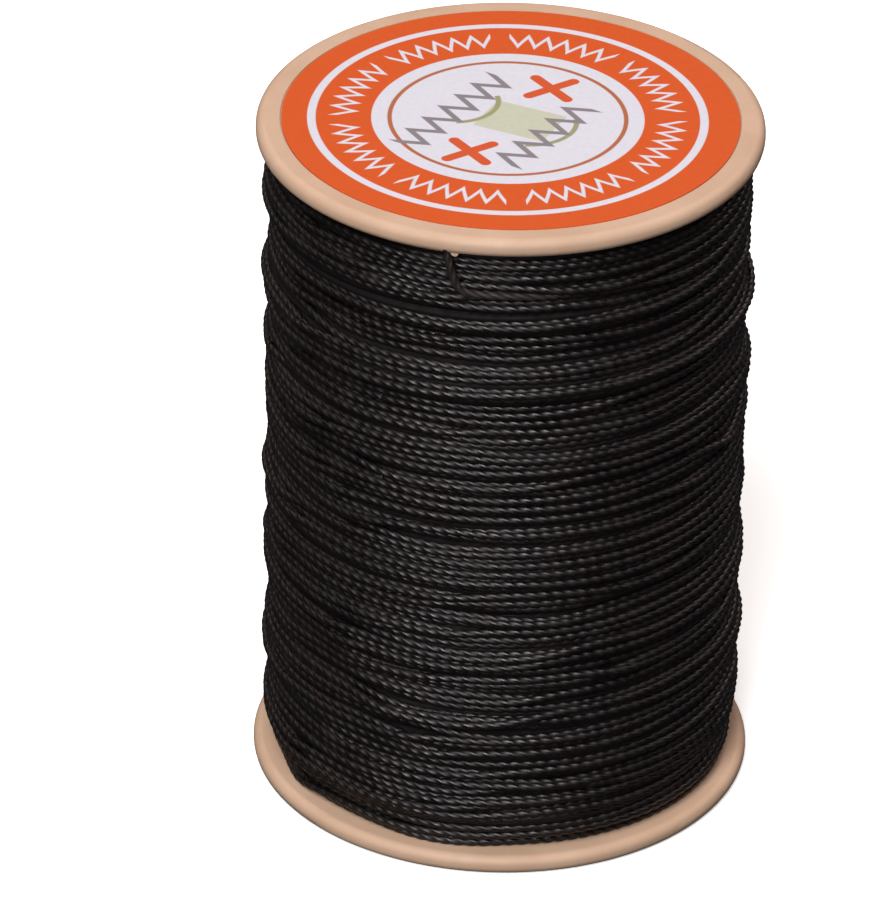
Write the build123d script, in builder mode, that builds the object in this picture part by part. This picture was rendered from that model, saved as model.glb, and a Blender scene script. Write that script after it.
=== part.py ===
from build123d import *
import os
from math import cos, radians, sin

# A spool of waxed sewing thread for leather work.
#
# Two flange mouldings are pushed into the ends of a core tube. One long thread is wound on the
# core, level with the rims but for a small setback, and its loose end is tucked into a slit in
# the upper rim. A printed paper label is stuck to the upper flange, over the spindle bore.
#
# Millimetres, +Z up along the spool's axis, origin at the centre of the face it stands on.

os.makedirs("parts", exist_ok=True)

# ---------------------------------------------------------------- driving sizes
spool_height = 40.4  # over both flanges
flange_diameter = 28.0
flange_thickness = 1.1
rim_rounding = 0.5  # radius on both edges of a flange

spindle_bore = 6.5  # diameter of the hole through both hubs
bore_lead = 0.3  # chamfer at the ends of the bore
hub_length = 7.0  # how far a flange's hub reaches into the core tube
hub_lead = 0.4  # chamfer on a hub's free end

core_diameter = 12.0
core_wall = 1.1

label_margin = 1.4  # plastic left bare round the label
label_thickness = 0.1

thread_diameter = 0.5  # waxed thread as it lies on the spool
winding_setback = 0.64  # how far the rims stand out past the thread
outer_layers = 2  # turns of thread that can be seen, counted inwards
edge_turn_rounding = 0.25  # the winding's edge beside each flange

slit_angle = 255.8  # degrees from +X, in the upper rim
slit_width = 0.26
slit_height = 0.3  # cut up from the flange's inner face, so that it doesn't show from above
end_lean = 2.6  # degrees between the thread end's root and the slit
end_rise = 2.4  # height that the thread end climbs to the rim
burr_width = 0.44  # plastic raised beside the slit where it was cut
burr_drop = 0.12

# ---------------------------------------------------------------- clearances
hub_gap = 0.02  # radial, hub in core tube
label_gap = 0.08  # radial, label in its recess
winding_gap = 0.02  # radial, between thread layers and on the core
slit_gap = 0.02  # each side of the pinched end
end_gap = 0.03  # thread end off the winding

# ---------------------------------------------------------------- sizes that follow
flange_radius = flange_diameter / 2
core_radius = core_diameter / 2
core_bore_radius = core_radius - core_wall
hub_radius = core_bore_radius - hub_gap
hub_wall = hub_radius - spindle_bore / 2
hub_chamfer = min(hub_lead, hub_wall / 3)  # leads that a thin hub wall has room for
bore_chamfer = min(bore_lead, hub_wall / 3)
rim_radius = min(rim_rounding, 0.46 * flange_thickness)  # leaves a narrow flat band on a thin rim
label_radius = flange_radius - label_margin
winding_radius = flange_radius - winding_setback
layer_radius = winding_radius - outer_layers * thread_diameter

lower_seat = flange_thickness  # height of the lower flange's inner face
upper_seat = spool_height - flange_thickness
winding_height = upper_seat - lower_seat

thread_radius = thread_diameter / 2
end_radius = winding_radius + end_gap + thread_radius  # the thread end's distance from the axis
slit_floor = end_radius - thread_radius - slit_gap  # where the slit stops, towards the axis
slit_length = flange_radius + slit_gap - slit_floor


def on_circle(radius, degrees, height):
    """The point at a radius from the axis, an angle from +X and a height."""
    angle = radians(degrees)
    return (radius * cos(angle), radius * sin(angle), height)


def radial_plane(degrees, height):
    """A level plane whose x direction points outwards at an angle from +X."""
    return Plane(origin=(0, 0, height), x_dir=on_circle(1, degrees, 0), z_dir=(0, 0, 1))


# ---------------------------------------------------------------- flanges
def flange_moulding(outer_face):
    """Rounded disc with a label recess outside, a hub inside and the spindle bore through both.

    The plane lies in the flange's outer face and looks into the spool.
    """
    with BuildPart() as moulding:
        with BuildSketch(outer_face):
            Circle(flange_radius)
        extrude(amount=flange_thickness)
        fillet(moulding.edges().filter_by(GeomType.CIRCLE), rim_radius)

        with BuildSketch(outer_face.offset(flange_thickness)):
            Circle(hub_radius)
        extrude(amount=hub_length)
        hub_end = moulding.faces().sort_by(Axis(outer_face.origin, outer_face.z_dir))[-1]
        chamfer(hub_end.edges(), hub_chamfer)

        with BuildSketch(outer_face):
            Circle(label_radius + label_gap)
        extrude(amount=label_thickness, mode=Mode.SUBTRACT)

        with BuildSketch(outer_face):
            Circle(spindle_bore / 2)
        extrude(amount=flange_thickness + hub_length, mode=Mode.SUBTRACT)
        chamfer(moulding.edges(Select.LAST).filter_by(GeomType.CIRCLE), bore_chamfer)
    return moulding.part


with BuildPart() as bottom_flange:
    add(flange_moulding(Plane.XY))

with BuildPart() as top_flange:
    add(flange_moulding(Plane(origin=(0, 0, spool_height), x_dir=(1, 0, 0), z_dir=(0, 0, -1))))

    # The burr: a round bead of plastic on the rim's lower edge, just past the thread end.
    burr_face = Plane(
        origin=on_circle(winding_radius + end_gap, slit_angle, upper_seat),
        x_dir=on_circle(1, slit_angle + 90, 0),
        z_dir=on_circle(1, slit_angle, 0),
    )
    with BuildSketch(burr_face):
        burr_shift = thread_radius + end_gap + burr_width / 2
        with Locations((burr_shift, burr_width / 2 - burr_drop)):
            Circle(burr_width / 2)
    extrude(amount=winding_setback - rim_radius / 2)

    # The slit that grips the thread end, a knife cut in the rim's lower edge.
    with BuildSketch(radial_plane(slit_angle, upper_seat)):
        with Locations((slit_floor + slit_length / 2, 0)):
            Rectangle(slit_length, slit_width)
    extrude(amount=slit_height, mode=Mode.SUBTRACT)

# ---------------------------------------------------------------- core tube
# Its ends stand on the flanges' inner faces, round the hubs.
with BuildPart() as core_tube:
    with BuildSketch(Plane.XY.offset(lower_seat)):
        Circle(core_radius)
        Circle(core_bore_radius, mode=Mode.SUBTRACT)
    extrude(amount=winding_height)

# ---------------------------------------------------------------- thread
# The buried layers fill the spool from the core up to the layers that can be seen.
with BuildPart() as buried_thread:
    with BuildSketch(Plane.XY.offset(lower_seat)):
        Circle(layer_radius - winding_gap)
        Circle(core_radius + winding_gap, mode=Mode.SUBTRACT)
    extrude(amount=winding_height)

# The layers that can be seen, as one sleeve.
with BuildPart() as outer_winding:
    with BuildSketch(Plane.XY.offset(lower_seat)):
        Circle(winding_radius)
        Circle(layer_radius, mode=Mode.SUBTRACT)
    extrude(amount=winding_height)
    outer_edges = outer_winding.edges().filter_by(GeomType.CIRCLE).group_by(SortBy.RADIUS)[-1]
    fillet(outer_edges, edge_turn_rounding)

# The loose end climbs over the last turns and is pinched flat in the slit.
end_root = on_circle(end_radius, slit_angle + end_lean, upper_seat - end_rise)
end_at_rim = on_circle(end_radius, slit_angle, upper_seat)
overrun = 1 + thread_diameter / end_rise  # the strand is cut back level with the rim
end_past_rim = tuple(a + (b - a) * overrun for a, b in zip(end_root, end_at_rim))
with BuildPart() as thread_end:
    with BuildLine() as strand:
        Line(end_root, end_past_rim)
    with BuildSketch(Plane(origin=strand.line @ 0, z_dir=strand.line % 0)):
        Circle(thread_radius)
    sweep(path=strand.line)
    split(bisect_by=Plane.XY.offset(upper_seat), keep=Keep.BOTTOM)
    with BuildSketch(radial_plane(slit_angle, upper_seat)):
        with Locations((end_radius, 0)):
            Rectangle(thread_diameter, slit_width - 2 * slit_gap)
    extrude(amount=slit_height - slit_gap)

# ---------------------------------------------------------------- label
with BuildPart() as top_label:
    with BuildSketch(Plane.XY.offset(spool_height - label_thickness)):
        Circle(label_radius)
    extrude(amount=label_thickness)

# ---------------------------------------------------------------- files
pieces = {
    "bottom_flange": bottom_flange,
    "top_flange": top_flange,
    "core_tube": core_tube,
    "buried_thread": buried_thread,
    "outer_winding": outer_winding,
    "thread_end": thread_end,
    "top_label": top_label,
}
for name, piece in pieces.items():
    piece.part.label = name
    export_step(piece.part, f"parts/{name}.step")
    print(name, "volume", round(piece.part.volume, 2), "mm3, solids", len(piece.part.solids()))
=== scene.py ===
# %% [markdown]
# # A spool of waxed sewing thread
#
# The spool has two moulded flanges on a core tube, one long thread wound between them, and a
# printed paper label on top. The rigid pieces come ready made in the frame, at their real size.
# What they lack is looks: the plastic, the print, and above all the thread, which the frame holds
# only as a plain sleeve. This lesson dresses the rigid pieces and lays the thread turn by turn.
#
# The frame is loaded first, because the pieces that are added below take their room from its boxes.

# %% Load the frame
from math import cos, pi, radians, sin, sqrt

import bpy
import numpy as np
from mathutils import Matrix, Vector


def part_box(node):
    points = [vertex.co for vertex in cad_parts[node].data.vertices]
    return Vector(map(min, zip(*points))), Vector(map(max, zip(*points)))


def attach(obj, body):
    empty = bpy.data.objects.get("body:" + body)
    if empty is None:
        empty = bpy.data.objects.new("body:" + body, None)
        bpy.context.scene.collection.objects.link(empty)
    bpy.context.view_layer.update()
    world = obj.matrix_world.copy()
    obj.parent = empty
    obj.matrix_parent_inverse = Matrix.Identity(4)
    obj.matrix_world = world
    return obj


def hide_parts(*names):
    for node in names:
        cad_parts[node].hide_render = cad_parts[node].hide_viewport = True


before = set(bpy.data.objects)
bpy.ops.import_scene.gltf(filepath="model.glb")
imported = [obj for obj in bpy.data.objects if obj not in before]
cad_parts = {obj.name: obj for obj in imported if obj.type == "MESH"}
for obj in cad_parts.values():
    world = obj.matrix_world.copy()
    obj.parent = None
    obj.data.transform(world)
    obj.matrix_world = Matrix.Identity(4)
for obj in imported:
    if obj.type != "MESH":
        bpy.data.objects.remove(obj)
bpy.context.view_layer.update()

MM = 0.001
print("nodes:", ", ".join(sorted(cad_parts)))

# %% [markdown]
# ## Sizes read from the frame
#
# A flange's box gives the rim's radius, and the sleeve's box gives the room that the thread has:
# from one flange to the other, and out to the winding's own radius. The thread's thickness can't be
# read from a box. It is a little under the 0.5 mm of free waxed thread, because turns that are wound
# tight press into each other.

# %% Sizes
rim_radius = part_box("bottom_flange")[1].x
spool_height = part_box("top_flange")[1].z
winding_low, winding_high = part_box("outer_winding")
winding_radius = winding_high.x
layer_low, layer_high = winding_low.z, winding_high.z
label_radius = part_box("top_label")[1].x
thread = 0.48 * MM  # thickness of the waxed thread as it lies on the spool
axis_middle = Vector((0, 0, spool_height / 2))
print(f"rim {rim_radius / MM:.1f} mm, height {spool_height / MM:.1f} mm")
print(f"winding {winding_radius / MM:.2f} mm, from {layer_low / MM:.2f} to {layer_high / MM:.2f} mm up")

# %% [markdown]
# ## The camera
#
# A product shot of a small spool is taken with a long lens from some way off and from about thirty
# degrees above, which keeps the sides nearly parallel. The camera is placed first on a circle round
# the spool's middle, looking at it, and then turned a little to put the spool where it belongs in
# the picture. A small roll matches a camera that was not quite level.

# %% Camera
CAMERA_ELEVATION = radians(30.28)
CAMERA_DISTANCE = 37.79 * rim_radius
CAMERA_PAN = radians(0.348)
CAMERA_TILT = radians(-0.163)
CAMERA_ROLL = radians(-1.065)
LENS = 368.7  # millimetres on a 36 mm wide sensor

back = Vector((0, -cos(CAMERA_ELEVATION), sin(CAMERA_ELEVATION)))
camera = bpy.data.objects.new("camera", bpy.data.cameras.new("camera"))
camera.data.lens = LENS
camera.data.sensor_width = 36
camera.data.clip_start, camera.data.clip_end = 0.01, 10
aim = (-back).to_track_quat("-Z", "Y").to_matrix()
turn = Matrix.Rotation(CAMERA_PAN, 3, "Y") @ Matrix.Rotation(CAMERA_TILT, 3, "X")
camera.matrix_world = Matrix.Translation(axis_middle + back * CAMERA_DISTANCE) @ (
    aim @ turn @ Matrix.Rotation(-CAMERA_ROLL, 3, "Z")
).to_4x4()
bpy.context.scene.collection.objects.link(camera)
bpy.context.scene.camera = camera
print(f"camera {CAMERA_DISTANCE:.3f} m from the spool's middle")

# %% [markdown]
# ## Small helpers for materials
#
# Colours are chosen as sRGB hex values, as a printer or a paint card gives them, and the shader
# wants linear light, so one function turns one into the other. The next adds a node with its
# settings and its inputs, whether an input is a number or another node's output. The rest are the
# few things that every material here needs: an empty material, a blend, a remapped range, a noise,
# a fine bump and a way to put a material on a piece from the frame.


# %% Material helpers
def linear(hex_colour):
    """Linear RGBA: a channel is c / 12.92 when dark, and else ((c + 0.055) / 1.055) to the power 2.4."""
    channels = [int(hex_colour[i : i + 2], 16) / 255 for i in (1, 3, 5)]
    return [c / 12.92 if c <= 0.04045 else ((c + 0.055) / 1.055) ** 2.4 for c in channels] + [1.0]


def add(tree, kind, inputs=None, **settings):
    """Adds a node, sets its properties, and sets or links each of its inputs."""
    node = tree.nodes.new("ShaderNode" + kind)
    for name, value in settings.items():
        setattr(node, name, value)
    for socket, value in (inputs or {}).items():
        if isinstance(value, bpy.types.NodeSocket):
            tree.links.new(value, node.inputs[socket])
        else:
            node.inputs[socket].default_value = value
    return node


def new_material(name, **sockets):
    """An empty node material with one Principled shader, whose uniform sockets are set directly."""
    material = bpy.data.materials.new(name)
    material.use_nodes = True
    tree = material.node_tree
    tree.nodes.clear()
    shader = add(tree, "BsdfPrincipled")
    for socket, value in sockets.items():
        shader.inputs[socket.replace("_", " ")].default_value = value
    add(tree, "OutputMaterial", {"Surface": shader.outputs[0]})
    return material, tree, shader


def mix(tree, factor, a, b):
    """The colour that goes from a to b as the factor goes from 0 to 1."""
    node = add(tree, "Mix", data_type="RGBA")
    for index, value in ((0, factor), (6, a), (7, b)):
        if isinstance(value, bpy.types.NodeSocket):
            tree.links.new(value, node.inputs[index])
        else:
            node.inputs[index].default_value = value
    return node.outputs[2]


def remap(tree, value, low, high, to_low=0.0, to_high=1.0):
    """The value's range from low to high, stretched to run from to_low to to_high, and kept to it."""
    inputs = {"Value": value, "From Min": low, "From Max": high, "To Min": to_low, "To Max": to_high}
    return add(tree, "MapRange", inputs).outputs[0]


def noise(tree, place, scale, detail):
    return add(tree, "TexNoise", {"Vector": place, "Scale": scale, "Detail": detail}).outputs[0]


def bumpy(tree, shader, height, strength, depth):
    """Tilts the shader's surface as if it rose and fell by the depth."""
    node = add(tree, "Bump", {"Height": height, "Strength": strength, "Distance": depth})
    tree.links.new(node.outputs[0], shader.inputs["Normal"])


def dress(node, material):
    """Gives one of the frame's nodes its material, and nothing else."""
    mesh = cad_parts[node].data
    mesh.materials.clear()
    mesh.materials.append(material)


# %% [markdown]
# ## Flesh-coloured ABS, injection moulded
#
# The flanges are a soft, slightly see-through plastic: a satin gloss with a faint orange-peel, a
# little cloudiness in the colour and a few fine rubs. Light that enters the rim comes out warmer,
# which a small amount of subsurface scattering gives. The clouds are about 4 mm across, as flow
# marks on a part this size are, the rubs about 0.7 mm, and the peel about 0.3 mm. The core tube is
# the same plastic, but extruded and a shade more yellow.


# %% Moulded plastic
CLOUD, RUB, PEEL = 4 * MM, 0.7 * MM, 0.3 * MM  # how wide the marks are
PEEL_DEPTH = 0.02 * MM


def moulded_plastic(name, pale, deep):
    material, tree, shader = new_material(
        name,
        Roughness=0.60,
        IOR=1.53,
        Subsurface_Weight=0.22,
        Subsurface_Radius=(1.0, 0.45, 0.22),
        Subsurface_Scale=0.8 * MM,
    )
    place = add(tree, "TexCoord").outputs["Object"]
    cloud = remap(tree, noise(tree, place, 1 / CLOUD, 3.0), 0.35, 0.65)
    tree.links.new(mix(tree, cloud, linear(pale), linear(deep)), shader.inputs["Base Color"])
    gloss = remap(tree, noise(tree, place, 1 / RUB, 4.0), 0.3, 0.7, 0.54, 0.66)
    tree.links.new(gloss, shader.inputs["Roughness"])
    bumpy(tree, shader, noise(tree, place, 1 / PEEL, 2.0), 0.10, PEEL_DEPTH)
    return material


flange_plastic = moulded_plastic("moulded_flesh_ABS", "#C4A48C", "#BC9B82")
core_plastic = moulded_plastic("extruded_cream_ABS", "#C4B195", "#BAA587")
dress("top_flange", flange_plastic)
dress("bottom_flange", flange_plastic)
dress("core_tube", core_plastic)
print("plastics:", flange_plastic.name, core_plastic.name)

# %% [markdown]
# ## Shapes in ink
#
# The label is coated paper, printed in a few flat colours. Flat print is drawn in the material and
# not as raised shapes. Each shape is a mask that is made from a signed distance, which is negative
# inside the shape: a disc's is the distance from its middle less its radius, and the others are
# worked out in the same way, in a frame of their own that is moved and turned.


# %% Ink
def slope_cosine(rise):
    """Cosine of the slope of a line that rises by this much for each one along."""
    return 1 / sqrt(1 + rise**2)


class Ink:
    """Masks on the label's plane, 1 inside a shape and 0 outside, in millimetres from its middle."""

    def __init__(self, tree, edge):
        self.tree = tree
        self.edge = edge
        place = add(tree, "TexCoord").outputs["Object"]
        scaled = add(tree, "VectorMath", {0: place, 1: (1 / MM,) * 3}, operation="MULTIPLY")
        self.place = scaled.outputs[0]

    def math(self, operation, a, b=0.0, c=0.0):
        return add(self.tree, "Math", {0: a, 1: b, 2: c}, operation=operation).outputs[0]

    def minus(self, a, b):
        return self.math("SUBTRACT", a, b)

    def absolute(self, a):
        return self.math("ABSOLUTE", a)

    def length(self, x, y):
        """Distance from the origin: sqrt(x * x + y * y)."""
        squares = self.math("ADD", self.math("MULTIPLY", x, x), self.math("MULTIPLY", y, y))
        return self.math("SQRT", squares)

    def inside(self, distance):
        """1 where a signed distance is negative, fading over the ink's soft edge."""
        return remap(self.tree, distance, -self.edge, self.edge, 1.0, 0.0)

    def both(self, a, b):
        return self.math("MULTIPLY", a, b)

    def either(self, first, *others):
        total = first
        for mask in others:
            total = self.math("MAXIMUM", total, mask)
        return total

    def turned(self, centre, degrees):
        """The place in a frame with its origin at centre and its x axis turned by an angle."""
        inputs = {"Vector": self.place, "Location": (*centre, 0), "Rotation": (0, 0, radians(degrees))}
        node = add(self.tree, "Mapping", inputs, vector_type="TEXTURE")
        split = add(self.tree, "SeparateXYZ", {0: node.outputs[0]})
        return split.outputs[0], split.outputs[1]

    def disc(self, centre, radius):
        x, y = self.turned(centre, 0)
        return self.inside(self.minus(self.length(x, y), radius))

    def ring(self, centre, inner, outer):
        return self.minus(self.disc(centre, outer), self.disc(centre, inner))

    def bar(self, centre, degrees, half_length, half_width):
        """A round-ended bar: the distance to a segment is the length of what lies beyond its ends."""
        x, y = self.turned(centre, degrees)
        beyond = self.math("MAXIMUM", self.minus(self.absolute(x), half_length), 0.0)
        return self.inside(self.minus(self.length(beyond, y), half_width))

    def block(self, centre, degrees, half_length, half_width):
        """A rectangle: the larger of the distances past its ends and past its sides."""
        x, y = self.turned(centre, degrees)
        past_end = self.minus(self.absolute(x), half_length)
        past_side = self.minus(self.absolute(y), half_width)
        return self.inside(self.math("MAXIMUM", past_end, past_side))

    def arc(self, centre, radius, half_width, degrees, half_angle):
        """Part of a ring: the distance to its circle, kept to the angles near one direction."""
        x, y = self.turned(centre, degrees)
        off_circle = self.absolute(self.minus(self.length(x, y), radius))
        near = self.math("LESS_THAN", self.absolute(self.math("ARCTAN2", y, x)), radians(half_angle))
        return self.both(self.inside(self.minus(off_circle, half_width)), near)

    def zigzag(self, centre, degrees, half_length, height, half_width):
        """A straight row of zigzag. Its line is 2 * height * |fract(x / height) - 1/2| - height / 2,
        which rises two for each one along, and the distance to it is the gap in y times the cosine.
        """
        x, y = self.turned(centre, degrees)
        fold = self.absolute(self.minus(self.math("FRACT", self.math("DIVIDE", x, height)), 0.5))
        line = self.math("MULTIPLY_ADD", fold, 2 * height, -height / 2)
        off_line = self.math("MULTIPLY", self.absolute(self.minus(y, line)), slope_cosine(2))
        within = self.math("LESS_THAN", self.absolute(x), half_length)
        return self.both(self.inside(self.minus(off_line, half_width)), within)

    def zigzag_ring(self, centre, middle, height, steps, run, half_width):
        """A zigzag bent round a circle. The angle is cut into equal steps, the line goes out and back
        in each of them, and one step in every run is left out.
        """
        x, y = self.turned(centre, 0)
        step = self.math("MULTIPLY_ADD", self.math("ARCTAN2", y, x), steps / (2 * pi), steps * 2.0)
        fold = self.absolute(self.minus(self.math("FRACT", step), 0.5))
        line = self.math("MULTIPLY_ADD", fold, 2 * height, middle - height / 2)
        flatten = slope_cosine(2 * height / (2 * pi * middle / steps))
        off_line = self.math("MULTIPLY", self.absolute(self.minus(self.length(x, y), line)), flatten)
        kept = self.math("GREATER_THAN", self.math("MODULO", self.math("FLOOR", step), run), 0.5)
        return self.both(self.inside(self.minus(off_line, half_width)), kept)


# %% [markdown]
# ## The printed label
#
# An orange disc has a thin white ring near its rim and a white middle with a fine line round it. The
# words of a real label are left out: a ring of zigzag stitches, in eight runs, takes their place in
# the orange band. In the middle are a plain picture of a spool, a pale barrel with two darker ends,
# and over it two crossed stitches and two grey rows of zigzag, as if stamped. The rings are shares of
# the label's radius, and the small shapes are in millimetres from its middle.

# %% Label
R_LABEL = label_radius / MM
PRINT_SHIFT = (-0.013 * R_LABEL, 0.0)  # the print sits a little off the middle of its paper
INK_EDGE = 0.03
WHITE_RING = (0.837 * R_LABEL, 0.874 * R_LABEL)
BAND = (0.595 * R_LABEL, 0.837 * R_LABEL)
LINE_RING = (0.505 * R_LABEL, 0.525 * R_LABEL)
STITCHES, STITCH_RUN = 56, 7.0  # steps round the band, and the steps in a run with its gap
STITCH_HEIGHT, STITCH_LINE = 1.2, 0.10
ROW_HEIGHT, ROW_LINE, ROW_ANGLE = 1.6, 0.17, 57
CROSS_ARM, CROSS_LINE = 1.5, 0.32
PAPER_DEPTH = 0.01 * MM

label_paper, tree, shader = new_material(
    "coated_paper_printed", Roughness=0.42, IOR=1.47, Coat_Weight=0.15, Coat_Roughness=0.25
)
ink = Ink(tree, INK_EDGE)
white = ink.either(
    ink.ring(PRINT_SHIFT, *WHITE_RING),
    ink.disc(PRINT_SHIFT, BAND[0]),
    ink.zigzag_ring(PRINT_SHIFT, sum(BAND) / 2, STITCH_HEIGHT, STITCHES, STITCH_RUN, STITCH_LINE),
)
line_ring = ink.ring(PRINT_SHIFT, *LINE_RING)
barrel = ink.block((0.5, -0.3), -25, 2.1, 1.6)
barrel_ends = ink.either(
    ink.arc((-3.2, 1.9), 2.5, 0.15, -35, 50),
    ink.arc((0.9, -0.4), 2.7, 0.15, -42, 50),
)
rows = ink.either(
    ink.zigzag((-3.1, 0.7), ROW_ANGLE, 4.8, ROW_HEIGHT, ROW_LINE),
    ink.zigzag((1.9, -1.9), ROW_ANGLE, 4.0, ROW_HEIGHT, ROW_LINE),
)
crosses = ink.either(
    *(
        ink.bar(centre, degrees, CROSS_ARM, CROSS_LINE)
        for centre in ((2.2, 3.5), (-2.2, -3.9))
        for degrees in (35, -55)
    )
)
colour = linear("#CD5219")
for mask, ink_colour in (
    (white, "#D2D1DB"),
    (line_ring, "#AC6340"),
    (barrel, "#BFC0AB"),
    (barrel_ends, "#96946F"),
    (rows, "#837B80"),
    (crosses, "#CA5227"),
):
    colour = mix(tree, mask, colour, linear(ink_colour))
grain = noise(tree, ink.place, 3.0, 4.0)
worn = remap(tree, grain, 0.3, 0.7, 0.94, 1.0)
shade = add(tree, "VectorMath", {0: colour, 1: worn}, operation="MULTIPLY")
tree.links.new(shade.outputs[0], shader.inputs["Base Color"])
bumpy(tree, shader, grain, 0.15, PAPER_DEPTH)
dress("top_label", label_paper)
print("label nodes:", len(tree.nodes))

# %% [markdown]
# ## Surfaces from grids of points
#
# Every new piece is a grid of points worked out with numpy, which is closed round its columns. For a
# strand the rows run along the thread and the columns round it. One function turns such a grid into
# a mesh. It caps or joins the ends of the grid, and turns the faces outwards by the sign of the
# volume that they enclose.


# %% Grid to mesh
def grid_piece(name, points, material, uv_scale, ring=False):
    """A closed mesh from points[row, column]: columns always join up, and rows join if ring is set.

    The enclosed volume is the sum of a . (b x c) / 6 over the triangles, and its sign says which
    way the faces look. The map's u grows by uv_scale with each row, and its v goes once round.
    """
    rows, columns = points.shape[:2]
    spans = rows if ring else rows - 1
    i, j = np.meshgrid(np.arange(spans), np.arange(columns), indexing="ij")
    i_next, j_next = (i + 1) % rows, (j + 1) % columns
    corners = ((i, j), (i_next, j), (i_next, j_next), (i, j_next))
    quads = np.stack([row * columns + column for row, column in corners], -1).reshape(-1, 4)
    flat = points.reshape(-1, 3)
    a, b, c, d = (flat[quads[:, k]] for k in range(4))
    volume = (a * (np.cross(b, c) + np.cross(c, d))).sum() / 6
    if volume < 0:
        quads = quads[:, ::-1]
    loops = quads.reshape(-1)
    starts = np.arange(len(quads)) * 4
    if not ring:
        first, last = np.arange(columns), np.arange(columns) + (rows - 1) * columns
        caps = (first, last[::-1]) if volume > 0 else (first[::-1], last)
        starts = np.concatenate([starts, [len(loops), len(loops) + columns]])
        loops = np.concatenate([loops, *caps])
    mesh = bpy.data.meshes.new(name)
    mesh.vertices.add(len(flat))
    mesh.vertices.foreach_set("co", flat.astype(np.float32).ravel())
    mesh.loops.add(len(loops))
    mesh.loops.foreach_set("vertex_index", loops.astype(np.int32))
    mesh.polygons.add(len(starts))
    mesh.polygons.foreach_set("loop_start", starts.astype(np.int32))
    mesh.polygons.foreach_set("use_smooth", np.ones(len(starts), bool))
    uv = np.zeros((len(loops), 2))
    uv[:, 0] = loops // columns * uv_scale
    uv[:, 1] = loops % columns / columns
    wrapped = uv[: len(quads) * 4, 1].reshape(-1, 4)
    crosses_seam = (wrapped.max(1) - wrapped.min(1)) > 0.5
    wrapped[crosses_seam] += (wrapped[crosses_seam] < 0.5) * 1.0
    mesh.uv_layers.new(name="lay").data.foreach_set("uv", uv.astype(np.float32).ravel())
    mesh.update(calc_edges=True)
    mesh.validate()
    mesh.materials.append(material)
    piece = bpy.data.objects.new(name, mesh)
    bpy.context.scene.collection.objects.link(piece)
    return piece


# %% [markdown]
# ## Waxed thread
#
# Dacron is polyester sewing thread, dyed black and drawn through wax. The wax fills the fibres, so
# the surface is smooth and has a soft grey gloss, while the creases between the plies are rougher and
# are given a near-black painted shade. Patches of browner wax, about two millimetres across, vary the
# black. The colour reads the thread's own map, which runs along it and round it, so the painted shade
# stays where the plies meet. The fibres themselves are about 0.02 mm thick, and only a faint bump
# shows them.

# %% Waxed thread material
PLIES = 3
WAX_PATCH, WAX_SMEAR = 2.2 * MM, 0.9 * MM
WAX_TINT = (1.0, 0.94, 0.96, 1.0)
CREASE_PAINTED_SHADE, CREASE_DULLNESS = "#0B0808", 0.2
FIBRES_ROUND, FIBRES_ALONG = 60.0, 0.8  # bumps once round the map, and to one unit along it
FIBRE_DEPTH = 0.02 * MM


def waxed_thread(name, dark, light, gloss, shine):
    """Wax with a roughness near gloss. A ply's crest is where the cosine of its own angle is high."""
    material, tree, shader = new_material(
        name, Roughness=gloss, IOR=1.47, Specular_IOR_Level=shine, Specular_Tint=WAX_TINT
    )
    lay_map = add(tree, "UVMap", uv_map="lay").outputs[0]
    split = add(tree, "SeparateXYZ", {0: lay_map})
    ply_angle = add(tree, "Math", {0: split.outputs[1], 1: 2 * pi * PLIES}, operation="MULTIPLY")
    wave = add(tree, "Math", {0: ply_angle.outputs[0]}, operation="COSINE")
    crest = remap(tree, wave.outputs[0], -1.0, 0.2)
    place = add(tree, "TexCoord").outputs["Object"]
    patch = remap(tree, noise(tree, place, 1 / WAX_PATCH, 3.0), 0.38, 0.66)
    body = mix(tree, patch, linear(dark), linear(light))
    # away from a ply's crest the colour goes to a near-black painted shade in the crease
    tree.links.new(mix(tree, crest, linear(CREASE_PAINTED_SHADE), body), shader.inputs["Base Color"])
    fibre_place = add(tree, "Mapping", {"Vector": lay_map, "Scale": (FIBRES_ALONG, FIBRES_ROUND, 1.0)})
    bumpy(tree, shader, noise(tree, fibre_place.outputs[0], 1.0, 2.0), 0.35, FIBRE_DEPTH)
    smear = remap(tree, noise(tree, place, 1 / WAX_SMEAR, 2.0), 0.35, 0.65, gloss - 0.04, gloss + 0.16)
    crease = add(tree, "Math", {0: 1.0, 1: crest}, operation="SUBTRACT").outputs[0]
    dull = add(tree, "Math", {0: crease, 1: CREASE_DULLNESS, 2: smear}, operation="MULTIPLY_ADD")
    tree.links.new(dull.outputs[0], shader.inputs["Roughness"])
    return material


thread_material = waxed_thread("waxed_black_dacron", "#0A0605", "#130A07", 0.34, 0.5)
# the layer below is a less glossy copy of the thread whose darker colours are painted shade
shaded_buried_material = waxed_thread("waxed_black_dacron_buried_painted_shade", "#070404", "#0C0807", 0.6, 0.2)
end_material = waxed_thread("waxed_black_dacron_end", "#1F1512", "#2C201C", 0.6, 0.5)
dress("buried_thread", shaded_buried_material)
print("threads:", thread_material.name, shaded_buried_material.name, end_material.name)

# %% [markdown]
# ## How the turns lie
#
# A winder lays thread in even turns, down the spool and up again, but waxed thread never ends up
# that neat. It wanders, slips sideways off its neighbours and climbs over the turns below. The lay
# is worked out the way it happens:
#
# - the buried turns give an uneven surface, with swells a few millimetres long up the spool and a
#   groove between each turn and the next;
# - the last two layers are laid turn by turn. A dense one goes down the spool, and an open one
#   comes back up over it;
# - a turn under tension slides down whatever slope it meets, but it's too stiff to bend sharply, so
#   it runs along a groove for a while and then crosses slowly to the next.

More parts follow.
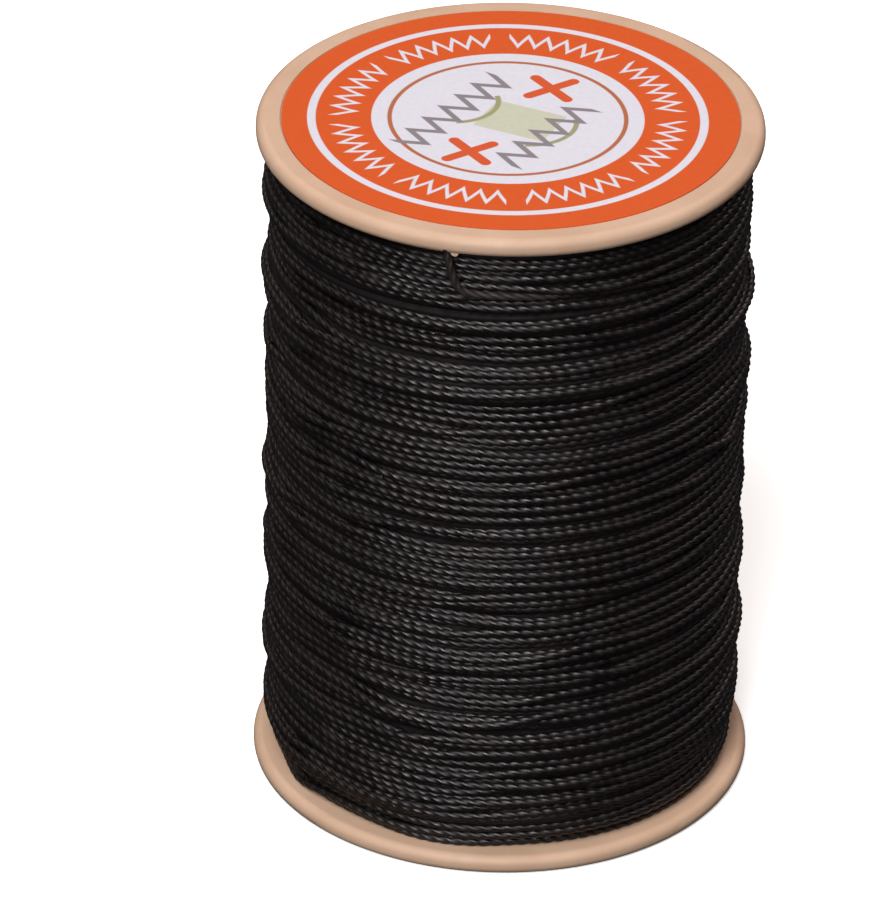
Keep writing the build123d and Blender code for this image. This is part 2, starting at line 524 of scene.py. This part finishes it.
# %% Ground for the last layers
rng = np.random.default_rng(45)
STEPS = 360  # samples in one turn
WIDE = 1.0 * thread  # reach at which two threads stop touching, side by side
DEEP = 0.67 * thread  # centre to centre, where one is pressed straight onto the other
UNDER_PITCH = 0.60 * MM
UNDER_DEPTH = 1.16  # thicknesses from the winding's surface to the buried turns' centre line
under_radius = winding_radius - UNDER_DEPTH * thread
FOOT_SINK, FOOT_REACH = 0.60 * MM, 1.5 * MM  # beside a flange the turns lie a little deeper
HEAD_SINK, HEAD_REACH = 0.30 * MM, 0.9 * MM
SWELL_COUNT, SWELL_SIZE = 7, 0.062 * MM
SWELL_LENGTHS = (2.4, 6.5)  # shortest and longest, in millimetres up the spool
SWELL_WAVES = 2  # most waves round the spool, either way
SWELLS = [
    # (length up the spool, waves round it, phase, size)
    (
        rng.uniform(*SWELL_LENGTHS) * MM,
        rng.integers(-SWELL_WAVES, SWELL_WAVES + 1),
        rng.uniform(0, 2 * pi),
        SWELL_SIZE,
    )
    for _ in range(SWELL_COUNT)
]


def bell(width):
    """exp(-(n / width)^2 / 2) for whole numbers n out to three widths either way."""
    reach = int(3 * width)
    return np.exp(-0.5 * (np.arange(-reach, reach + 1) / width) ** 2)


def smooth_noise(count, width):
    """Noise of unit spread along the thread: white noise averaged with a bell of the given width."""
    weights = bell(width)
    rough = np.convolve(rng.standard_normal(count + len(weights) - 1), weights, "valid")
    return rough / rough.std()


def smoothed(values, width, before):
    """Values averaged with a bell of the given width, going on from the values that came before."""
    weights = bell(width)
    reach = len(weights) // 2
    padded = np.concatenate([before[-reach:], values, np.full(reach, values[-1])])
    return np.convolve(padded, weights / weights.sum(), "valid")


def under_surface(angle, height):
    """Radius of the buried turns' centre lines: the sum of size * cos(2 pi height / length + waves
    * angle + phase) over the swells, less the sinking beside the flanges.
    """
    swells = (
        size * np.cos(2 * pi * height / length + waves * angle + phase)
        for length, waves, phase, size in SWELLS
    )
    low = np.exp(-(((height - layer_low) / FOOT_REACH) ** 2))
    high = np.exp(-(((layer_high - height) / HEAD_REACH) ** 2))
    return under_radius + sum(swells) - FOOT_SINK * low - HEAD_SINK * high


def under_groove(angle, height):
    """Distance up or down to the nearest buried turn."""
    turns_up = (height - layer_low) / UNDER_PITCH - angle / (2 * pi)
    return (turns_up - np.round(turns_up)) * UNDER_PITCH


def press(apart):
    """How far out one thread holds another: DEEP * (1 + cos(pi * apart / WIDE)) / 2."""
    near = np.clip(np.abs(apart) / WIDE, 0, 1)
    return DEEP * (1 + np.cos(pi * near)) / 2


def resting(angle, height, laid_height, laid_radius):
    """Radius at which a thread rests at a height: on the buried turns or on the laid ones."""
    rest = under_surface(angle, height) + press(under_groove(angle, height))
    if len(laid_height):
        apart = height - laid_height
        on_turns = np.where(np.abs(apart) < WIDE, laid_radius + press(apart), 0)
        rest = np.maximum(rest, on_turns.max(0))
    return rest


# %% Where each turn would go by itself
DENSE_TURNS, OPEN_TURNS = 63, 48
TURNS = DENSE_TURNS + OPEN_TURNS
# The thread wanders up and down the spool: each pair is how far, in millimetres, and over how many
# turns it comes and goes. The drift is the open layer's alone.
TWITCH, TWITCH_TURNS = 0.05, 0.06
SWAY, SWAY_TURNS = 0.10, 0.25
DRIFT, DRIFT_TURNS = 0.16, 1.2

count = TURNS * STEPS
lap = np.arange(count) / STEPS
first_height, last_height = layer_low + thread / 2, layer_high - thread / 2
down = np.clip(lap / DENSE_TURNS, 0, 1)
up = np.clip((lap - DENSE_TURNS) / OPEN_TURNS, 0, 1)
height = last_height + (first_height - last_height) * (down - up)
loose = np.clip(lap - DENSE_TURNS, 0, 1)  # the open layer wanders more than the dense one
wander = TWITCH * smooth_noise(count, TWITCH_TURNS * STEPS) + SWAY * smooth_noise(count, SWAY_TURNS * STEPS)
height += wander * (1 + loose) * MM
height += loose * DRIFT * MM * smooth_noise(count, DRIFT_TURNS * STEPS)
height = np.clip(height, first_height, last_height).reshape(TURNS, STEPS)
angle = np.arange(STEPS) / STEPS * 2 * pi
print(f"{count} samples in {TURNS} turns")

# %% Where each turn settles
NUDGE = 0.02 * MM  # half the step over which a slope is measured
SLIDE = 0.10 * MM  # how far a turn slides down a slope of one, each time
PULL = 0.10  # share of the way back to its own place that the winder pulls it, each time
BEND = 6  # samples over which stiff thread evens out a bend sideways
FOLLOW = 4  # samples over which it evens out a bump outwards
SETTLINGS = 14
radius = np.zeros((TURNS, STEPS))
before = np.full(STEPS, height[0, 0])
for k in range(TURNS):
    wanted = height[k].copy()
    path = wanted.copy()
    for _ in range(SETTLINGS):
        above = resting(angle, path + NUDGE, height[:k], radius[:k])
        below = resting(angle, path - NUDGE, height[:k], radius[:k])
        path += -SLIDE * (above - below) / (2 * NUDGE) + PULL * (wanted - path)
        path = np.clip(smoothed(path, BEND, before), first_height, last_height)
    radius[k] = resting(angle, path, height[:k], radius[:k])
    height[k] = before = path
radius = smoothed(radius.ravel(), FOLLOW, np.full(STEPS, radius[0, 0])).reshape(TURNS, STEPS)
for name, part in (("dense", radius[:DENSE_TURNS]), ("open", radius[DENSE_TURNS:])):
    top = (part + thread / 2) / MM
    print(f"{name} layer from {top.min():.2f} to {top.max():.2f} mm, middle {np.median(top):.2f} mm")

# %% [markdown]
# ## A three-ply strand
#
# Three plies twist round each other, once in a little over four thicknesses of the thread. As a
# surface that is one tube whose outline is three joined arcs, carried along the thread's line and
# turned as it goes. The mesh turns with it, so its edges follow the plies and few points are
# enough. The line itself is long, so the strand is made in stretches.

# %% Strand along a line
LAY = 2.13 * MM  # one whole twist of the plies
PLY_OFFSET, PLY_RADIUS = 0.41, 0.61  # as shares of the thread's own radius
SECTION_POINTS = 15


def ply_outline(turned):
    """Distance to the outline, as a share of the thread's radius, for an angle from a ply's crest.

    It is the far side of a circle of PLY_RADIUS set PLY_OFFSET off the middle.
    """
    folded = np.abs((turned + pi / PLIES) % (2 * pi / PLIES) - pi / PLIES)
    return PLY_OFFSET * np.cos(folded) + np.sqrt(PLY_RADIUS**2 - (PLY_OFFSET * np.sin(folded)) ** 2)


def strand_points(line, across, outward):
    """Rings of points round a line. A ring's point is the line's, plus the outline's distance times
    cos t outwards and sin t sideways, where t is the point's own angle plus the twist so far. The
    two directions are scaled by outward and across, ring by ring.
    """
    step = np.linalg.norm(np.diff(line, axis=0), axis=1)
    so_far = np.concatenate([[0], np.cumsum(step)])
    along = np.gradient(line, axis=0)
    along /= np.linalg.norm(along, axis=1, keepdims=True)
    radial = line * (1, 1, 0)
    radial /= np.linalg.norm(radial, axis=1, keepdims=True)
    up = radial - along * np.sum(radial * along, axis=1, keepdims=True)
    up /= np.linalg.norm(up, axis=1, keepdims=True)
    side = np.cross(along, up)
    own = np.arange(SECTION_POINTS) / SECTION_POINTS * 2 * pi
    turned = own[None, :] + (so_far / LAY * 2 * pi)[:, None]
    reach = ply_outline(own)[None, :] * thread / 2
    rise = (reach * np.cos(turned) * outward[:, None])[..., None] * up[:, None, :]
    shift = (reach * np.sin(turned) * across[:, None])[..., None] * side[:, None, :]
    return line[:, None, :] + rise + shift, so_far[-1]


# %% Visible turns
RING_SPACING = 0.19 * MM
STRETCHES = 9
rings = int(2 * pi * winding_radius * TURNS / RING_SPACING)
ring_lap = np.linspace(0, TURNS - 1 / STEPS, rings)
ring_radius = np.interp(ring_lap, lap, radius.ravel())
ring_height = np.interp(ring_lap, lap, height.ravel())
ring_angle = ring_lap * 2 * pi
line = np.stack([ring_radius * np.cos(ring_angle), ring_radius * np.sin(ring_angle), ring_height], -1)
full_size = np.ones(rings)
points, thread_length = strand_points(line, full_size, full_size)
cuts = np.linspace(0, rings - 1, STRETCHES + 1).astype(int)
for n in range(STRETCHES):
    stretch = points[cuts[n] : cuts[n + 1] + 1]
    piece = grid_piece(f"thread_turns_{n + 1}", stretch, thread_material, RING_SPACING / MM)
    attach(piece, "root")
    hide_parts("outer_winding")
print(f"{TURNS} turns, {thread_length:.2f} m of thread, {rings} rings")

# %% [markdown]
# ## The layer below
#
# Between the turns that wander apart, the layer under them shows as dark ridges, made darker still by a
# painted shade in its material. It is one grooved sleeve: at each height its radius follows the round
# back of the nearest turn below.

# %% Layer below
SLEEVE_COLUMNS, SLEEVE_ROWS = 540, 180
SLEEVE_GAP = 0.02 * MM  # from each flange
up_sleeve = np.linspace(layer_low + SLEEVE_GAP, layer_high - SLEEVE_GAP, SLEEVE_COLUMNS)
round_sleeve = np.arange(SLEEVE_ROWS) / SLEEVE_ROWS * 2 * pi
outer_angle, outer_height = np.meshgrid(round_sleeve, up_sleeve, indexing="ij")
off_turn = under_groove(outer_angle, outer_height)
turn_back = np.sqrt(np.maximum((thread / 2) ** 2 - off_turn**2, 0))
outer_radius = under_surface(outer_angle, outer_height) + turn_back
inner_radius = np.full((SLEEVE_ROWS, 2), under_radius - thread)
inner_height = np.tile([up_sleeve[-1], up_sleeve[0]], (SLEEVE_ROWS, 1))
sleeve_radius = np.hstack([outer_radius, inner_radius])
sleeve_height = np.hstack([outer_height, inner_height])
sleeve_x = sleeve_radius * np.cos(round_sleeve[:, None])
sleeve_y = sleeve_radius * np.sin(round_sleeve[:, None])
sleeve_points = np.stack([sleeve_x, sleeve_y, sleeve_height], -1)
sleeve = grid_piece("thread_layer_below", sleeve_points, shaded_buried_material, 1.0, ring=True)
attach(sleeve, "root")
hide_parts("outer_winding")
print(f"layer below from {outer_radius.min() / MM:.2f} to {outer_radius.max() / MM:.2f} mm")

# %% [markdown]
# ## The tucked end
#
# The last turn comes round below the upper flange, bends up over its neighbours and is pinched in
# the slit that is cut in the rim. Its line is a smooth curve that is drawn towards a few listed
# points, each an angle, a distance from the axis and a height. Where the slit grips it, the
# strand is squeezed to about half its width across the slit, and hardly at all along it.


# %% Tucked end
def smooth_line(controls, per_span):
    """A uniform cubic B-spline: each point blends four neighbouring controls, weighted by
    (1-t)^3, 3t^3-6t^2+4, -3t^3+3t^2+3t+1 and t^3, all over six. The end controls count three times.
    """
    controls = np.vstack([controls[:1], controls[:1], controls, controls[-1:], controls[-1:]])
    t = np.arange(per_span)[:, None, None] / per_span
    weights = ((1 - t) ** 3, 3 * t**3 - 6 * t**2 + 4, -3 * t**3 + 3 * t**2 + 3 * t + 1, t**3)
    spans = len(controls) - 3
    blend = sum(weights[k] * controls[None, k : k + spans] for k in range(4)) / 6
    return np.vstack([blend.transpose(1, 0, 2).reshape(-1, controls.shape[1]), controls[-1:]])


SLIT_ANGLE = 255.8
GRIP_START, GRIP_REACH = 38.9, 0.4  # millimetres up, where the slit begins to grip and how gradually
SQUEEZE, FLATTEN = 0.45, 0.05  # shares of the strand's thickness lost across the slit and along it
END_ROUTE = np.array(
    [
        # degrees, millimetres from the axis, millimetres up
        (290, 12.75, 36.35),
        (283, 12.95, 36.45),
        (276, 13.15, 36.55),
        (269, 13.25, 36.62),
        (264, 13.32, 36.70),
        (260.6, 13.40, 36.78),
        (258.6, 13.48, 37.00),
        (257.6, 13.50, 37.55),
        (256.9, 13.50, 38.10),
        (256.2, 13.48, 38.70),
        (255.9, 13.44, 39.10),
        (SLIT_ANGLE, 13.42, 39.35),
        (SLIT_ANGLE, 13.42, 39.58),
    ]
)
END_RINGS = 16  # rings between one point of the route and the next
END_RING_SPACING = 0.15  # how far the map goes from one ring to the next
degrees, end_radius, end_height = smooth_line(END_ROUTE, END_RINGS).T
end_angle = np.radians(degrees)
end_line = np.stack([end_radius * np.cos(end_angle), end_radius * np.sin(end_angle), end_height], -1) * MM
grip = np.clip((end_height - GRIP_START) / GRIP_REACH, 0, 1)
grip = grip * grip * (3 - 2 * grip)
end_points, end_length = strand_points(end_line, 1 - SQUEEZE * grip, 1 - FLATTEN * grip)
thread_end = grid_piece("tucked_thread_end", end_points, end_material, END_RING_SPACING)
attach(thread_end, "root")
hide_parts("thread_end")
print(f"tucked end {end_length / MM:.1f} mm long")

# %% [markdown]
# ## Floor and light
#
# A near-black thread shows only what its wax reflects. A tall narrow soft box stands in front and
# above, close to the camera's own direction, and draws the grey gloss down the middle of the
# winding. Two wide, shallow strips hang behind it, one on each side, in a warmer light, and draw a
# thin gloss on its edges. A weak box overhead fills in the label, and a very dim surround sets the
# darkest level.
#
# The floor is white paper that glows a little, so that the shadow on it is faint. It is kept out of
# the spool's reflections and bounce light, which would turn the thread grey.

# %% Floor
FLOOR_HALF = 3.0
PAPER_CLOUD = 6.0
floor_material, tree, shader = new_material(
    "pale_lit_floor",
    Roughness=0.8,
    Specular_IOR_Level=0.2,
    Emission_Color=linear("#FFFFFF"),
    Emission_Strength=0.42,
)
mottle = noise(tree, add(tree, "TexCoord").outputs["Object"], PAPER_CLOUD, 2.0)
floor_white = mix(tree, mottle, linear("#FDFDFE"), linear("#FFFFFF"))
tree.links.new(floor_white, shader.inputs["Base Color"])
floor_signs = ((-1, -1), (1, -1), (1, 1), (-1, 1))
floor_corners = [(right * FLOOR_HALF, forward * FLOOR_HALF, 0.0) for right, forward in floor_signs]
floor_mesh = bpy.data.meshes.new("floor")
floor_mesh.from_pydata(floor_corners, [], [(0, 1, 2, 3)])
floor_mesh.materials.append(floor_material)
floor = bpy.data.objects.new("floor", floor_mesh)
bpy.context.scene.collection.objects.link(floor)
floor.visible_diffuse = False
floor.visible_glossy = False
print(f"floor {2 * FLOOR_HALF:.0f} m square")


# %% Lights
def soft_box(name, azimuth, elevation, distance, width, height, watts):
    """A flat area light that looks at the spool's middle. Azimuth 0 is the camera's side."""
    data = bpy.data.lights.new(name, "AREA")
    data.shape = "RECTANGLE"
    data.size, data.size_y = width, height
    data.energy = watts
    lamp = bpy.data.objects.new(name, data)
    around, up = radians(azimuth), radians(elevation)
    towards = Vector((sin(around) * cos(up), -cos(around) * cos(up), sin(up)))
    facing = towards.to_track_quat("Z", "Y").to_matrix().to_4x4()
    lamp.matrix_world = Matrix.Translation(axis_middle + towards * distance) @ facing
    bpy.context.scene.collection.objects.link(lamp)
    return lamp


STRIP_ANGLE = 130
WARM = (1.0, 0.86, 0.80)

soft_box("front_box", -14, 44, 1.20, 0.42, 1.00, 20.0)
soft_box("top_box", 20, 84, 0.80, 0.90, 0.90, 0.4)
for name, azimuth, watts in (("left_box", -STRIP_ANGLE, 3.0), ("right_box", STRIP_ANGLE, 5.4)):
    strip = soft_box(name, azimuth, 48, 1.20, 1.20, 0.15, watts)
    strip.data.color = WARM
world = bpy.data.worlds.new("surround")
world.use_nodes = True
surround = world.node_tree.nodes["Background"].inputs
surround["Color"].default_value = linear("#F4F5FA")
surround["Strength"].default_value = 0.04
bpy.context.scene.world = world
bpy.context.scene.view_settings.view_transform = "Standard"
print("lights: front, top, and two warm strips behind")
